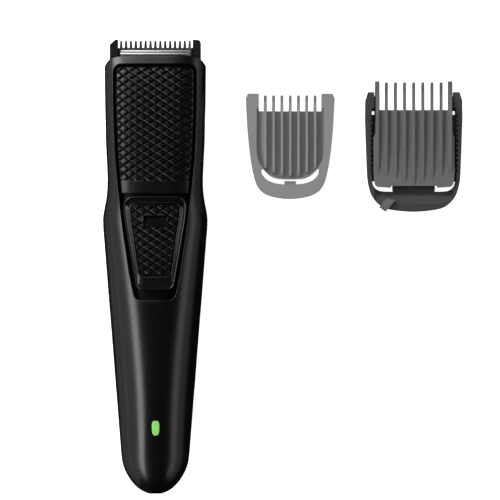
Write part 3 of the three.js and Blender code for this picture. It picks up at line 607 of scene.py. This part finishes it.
def pad_z(x, y, dist):
    e = diamonds(x, y, 0.0, 1.3)
    tex = 0.34 * (np.clip((e - 0.03) / 0.38, 0, 1) - 1) + 0.06 * (np.clip(e, 0, 1) - 0.5)
    mask = smooth(0.55, 1.0, dist)
    edge = -0.5 * (1 - smooth(0.0, 0.35, dist)) ** 2
    base = slider_surface(x, y, 0.34)
    # thumb notch: a sharp step at its top and left, its floor climbing back out to the foot and the right
    nx = smooth(-4.0, -3.7, x) * (1 - smooth(4.0, 4.6, x))
    ny = (1 - smooth(17.9, 18.15, y)) * smooth(14.2, 14.6, y)
    ramp = np.clip((y - 14.4) / 3.6, 0, 1) ** 1.2
    fade = 1 - 0.75 * np.clip((x + 3.2) / 8.0, 0, 1)
    cut = nx * ny * (1.15 * ramp + 0.35 * np.exp(-((x + 3.6) / 0.5) ** 2))
    cut = cut * (0.45 + 0.55 * fade)
    lip = 0.14 * (np.exp(-((x + 4.25) / 0.22) ** 2) * smooth(14.4, 15.2, y) * (1 - smooth(18.2, 18.6, y)) + np.exp(-((y - 18.45) / 0.22) ** 2) * smooth(-4.4, -4.0, x) * (1 - smooth(3.6, 4.6, x)))
    keep = 1 - smooth(-4.8, -4.2, x) * (1 - smooth(4.4, 5.0, x)) * (1 - smooth(18.5, 19.1, y)) * smooth(14.0, 14.5, y)
    return base + tex * mask * keep + edge - cut + lip


pad = field_object("power_slider_pad_skin", PAD, -3.3, 22.5, 2.2, 2.0, 150, 230, pad_z, -0.6)
finish_piece(pad, "power_slider", M_GRIP, "grip", "power_slider_pad")
# painted shade: the thumb notch's floor takes the dark matt black, along with the pad's grooves
paint_groove_shade(pad, 0.0, 1.3, lambda x, y: (np.abs(x - 0.3) < 4.2) & (y > 14.3) & (y < 18.15))

# ------------------------------------------------------------------ rounded bars across the cutter
def bar(name, profile, half, mat, body):
    """A profile in (y, z) swept across the head, its ends closed."""
    p = np.array(profile, float)
    n = len(p)
    xs = [-half, -half + 0.12, half - 0.12, half]
    mid = p.mean(0)
    rings = []
    for i, x in enumerate(xs):
        k = 0.9 if i in (0, 3) else 1.0
        q = mid + (p - mid) * k
        rings.append(np.column_stack([np.full(n, x), q]))
    v = np.concatenate(rings + [np.array([[xs[0], *mid]]), np.array([[xs[-1], *mid]])])
    f = [tuple(t) for t in grid_faces(4, n, wrap=True)]
    for j in range(n):
        k = (j + 1) % n
        f.append((4 * n, k, j))
        f.append((4 * n + 1, 3 * n + j, 3 * n + k))
    return mesh_object(name, v, f, sharp=12)


def facet_profile(y0, y1, z0):
    """A bar whose top leans towards the teeth."""
    z1 = z0 + 0.40 * (y1 - y0)
    return [(y0, z0 - 0.5), (y0, z1 - 0.06), (y0 + 0.06, z1), (y1 - 0.06, z0 + 0.03), (y1, z0 - 0.03), (y1, z0 - 0.5)]


# ------------------------------------------------------------------ charge light
def led_lens():
    loops = []
    def rr(g):
        hx, hy = 1.32 + g, 2.62 + g
        out = []
        for i in range(48):
            a = 2 * math.pi * i / 48
            c, s = math.cos(a), math.sin(a)
            k = 3.2
            taper = 1 + 0.10 * s
            out.append((0.23 + hx * taper * math.copysign(abs(c) ** (2 / k), c), -57.9 + hy * math.copysign(abs(s) ** (2 / k), s)))
        return np.array(out)
    for g, d in ((0.0, -0.3), (0.0, 0.02), (-0.08, 0.09), (-0.25, 0.13), (-0.6, 0.15), (-1.0, 0.16)):
        loops.append(outline_loop(rr(g), d))
    return loops_object("led_window_skin", loops, cap_last=True, flip=True, sharp=60)


finish_piece(led_lens(), "handle", M_LED, "led_green", "led_window")

# ------------------------------------------------------------------ carried-over solids
def dress(node, mat, bevel=0.0, seg=2):
    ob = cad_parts[node]
    ob.data.materials.clear()
    ob.data.materials.append(mat)
    if bevel:
        b = ob.modifiers.new("edge", "BEVEL")
        b.width = bevel * MM
        b.segments = seg
        b.limit_method = "ANGLE"
        b.angle_limit = math.radians(35)
        b.harden_normals = False
    return ob


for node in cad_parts:
    if node.startswith("case_screw") or node.startswith("blade_screw") or node.startswith("socket_pin") or node in ("arm_pivot_pin", "head_hinge_pin", "motor_shaft", "motor_can", "slide_switch", "battery_tab_plus", "battery_tab_minus", "blade_spring"):
        dress(node, M_STEEL)
for node, mat in (("slider_stem", M_INNER), ("circuit_board", M_PCB), ("led", M_LED), ("microcontroller", M_INNER), ("charge_coil", M_COPPER),
                  ("battery_cell", M_CELL), ("charging_socket", M_INNER), ("motor_cradle", M_INNER), ("eccentric_cam", M_INNER), ("drive_arm", M_INNER),
                  ("head_bulkhead", M_INNER), ("head_seal", M_RUBBER)):
    dress(node, mat)
dress("cutter_holder", M_HOLDER, 0.45, 3)
dress("fixed_blade", M_BLADE_DARK, 0.06)
dress("moving_blade", M_BLADE, 0.05)
dress("blade_carrier", M_BLADE_DARK, 0.12)
finish_piece(bar("cutter_bar_front", facet_profile(76.42, 77.08, 15.5), 12.55, M_BAR, "cutter"), "cutter", M_BAR, "blade_steel")
finish_piece(bar("cutter_bar_rear", facet_profile(77.42, 78.06, 12.3), 12.55, M_BAR, "cutter"), "cutter", M_BAR, "blade_steel")
dress("guide_comb", M_COMB_L, 0.4, 3)
dress("comb_frame", M_COMB_D, 0.25)
dress("adjustable_comb", M_SOLE_D, 0.2)
dress("comb_lock_lever", M_LEVER, 0.2)

# ------------------------------------------------------------------ stage, lights, camera
def stage_floor():
    s = 3.0
    me = bpy.data.meshes.new("floor")
    me.from_pydata([(-s, -s, 0), (s, -s, 0), (s, s, 0), (-s, s, 0)], [], [(0, 1, 2, 3)])
    ob = bpy.data.objects.new("floor", me)
    ob.location.z = -0.0004
    bpy.context.scene.collection.objects.link(ob)
    m = bpy.data.materials.new("floor_white")
    m.use_nodes = True
    b = m.node_tree.nodes["Principled BSDF"]
    b.inputs["Base Color"].default_value = (0.8, 0.8, 0.8, 1)
    b.inputs["Roughness"].default_value = 0.9
    b.inputs["Specular IOR Level"].default_value = 0.0
    b.inputs["Emission Color"].default_value = (1, 1, 1, 1)
    b.inputs["Emission Strength"].default_value = 0.94
    me.materials.append(m)
    ob.visible_glossy = False
    ob.visible_diffuse = False
    return ob


stage_floor()


def area(name, loc, target, sx, sy, watts, color=(1, 1, 1)):
    li = bpy.data.lights.new(name, "AREA")
    li.shape = "RECTANGLE"
    li.size, li.size_y = sx, sy
    li.energy = watts
    li.color = color
    ob = bpy.data.objects.new(name, li)
    bpy.context.scene.collection.objects.link(ob)
    ob.location = loc
    z = (Vector(loc) - Vector(target)).normalized()
    x = Vector((0, 1, 0)).cross(z).normalized()
    y = z.cross(x)
    ob.rotation_euler = Matrix((x, y, z)).transposed().to_euler()
    ob.visible_camera = False
    return ob


# long soft boxes along the handle, left and right; sizes across first
R = 0.75
def box_at(name, deg, width_deg, radiance, length=1.6, side=-1):
    a = math.radians(deg)
    loc = (side * R * math.sin(a), 0.0, R * math.cos(a) + 0.015)
    w = 2 * R * math.tan(math.radians(width_deg / 2))
    area(name, loc, (0, 0, 0.015), w, length, radiance * math.pi * w * length)


box_at("left_box", 47, 18, 6.0)
box_at("left_fill", 82, 44, 0.62)
box_at("left_edge", 118, 40, 0.30)
box_at("right_box", 65, 21, 1.35, side=1)
box_at("right_fill", 90, 28, 0.36, side=1)


def from_direction(name, d, dist, sx, sy, radiance, aim=(0, 0.0, 0.02)):
    v = Vector(d).normalized() * dist
    area(name, (aim[0] + v.x, aim[1] + v.y, aim[2] + v.z), aim, sx, sy, radiance * math.pi * sx * sy)


# over the head, up and to the left, for the band under the blades and the cutter's bars
HEAD = (0, 0.072, 0.02)
from_direction("head_centre", (-0.16, 0.737, 0.675), 1.0, 0.46, 0.24, 4.6, HEAD)
from_direction("head_left", (-0.62, 0.64, 0.45), 1.0, 0.50, 0.34, 7.0, HEAD)
# a faint wash on the upper half, from above and the head's side
from_direction("upper_wash", (-0.34, 0.30, 0.90), 0.9, 0.26, 0.50, 0.30)
# a diffuse fill straight above the combs, so that the floors between their ribs don't go black
from_direction("comb_fill", (0.0, 0.04, 1.0), 1.0, 0.30, 0.30, 9.1, (0.072, 0.045, 0.01))
bpy.data.objects["comb_fill"].visible_glossy = False

world = bpy.data.worlds.new("world")
bpy.context.scene.world = world
world.use_nodes = True
nt = world.node_tree
bg = nt.nodes["Background"]
lp = nt.nodes.new("ShaderNodeLightPath")
mixc = nt.nodes.new("ShaderNodeMix")
mixc.data_type = "RGBA"
mixc.inputs["A"].default_value = (0.006, 0.006, 0.0063, 1)
mixc.inputs["B"].default_value = (0.97, 0.97, 0.97, 1)
nt.links.new(lp.outputs["Is Camera Ray"], mixc.inputs["Factor"])
nt.links.new(mixc.outputs["Result"], bg.inputs["Color"])

cam_d = bpy.data.cameras.new("camera")
cam = bpy.data.objects.new("camera", cam_d)
bpy.context.scene.collection.objects.link(cam)
bpy.context.scene.camera = cam
cam_d.sensor_width = 36.0
cam_d.lens = 600.0
VIEW_W = 0.180
DIST = VIEW_W * cam_d.lens / 36.0
cam.location = (0.0341, 0.0060, DIST + 0.015)
cam.rotation_euler = (0, 0, 0)
cam_d.clip_start, cam_d.clip_end = 0.1, 20.0
cam_d.dof.use_dof = False

sc = bpy.context.scene
sc.view_settings.view_transform = "Standard"
sc.view_settings.look = "None"
sc.view_settings.exposure = 0.0
sc.view_settings.gamma = 1.0
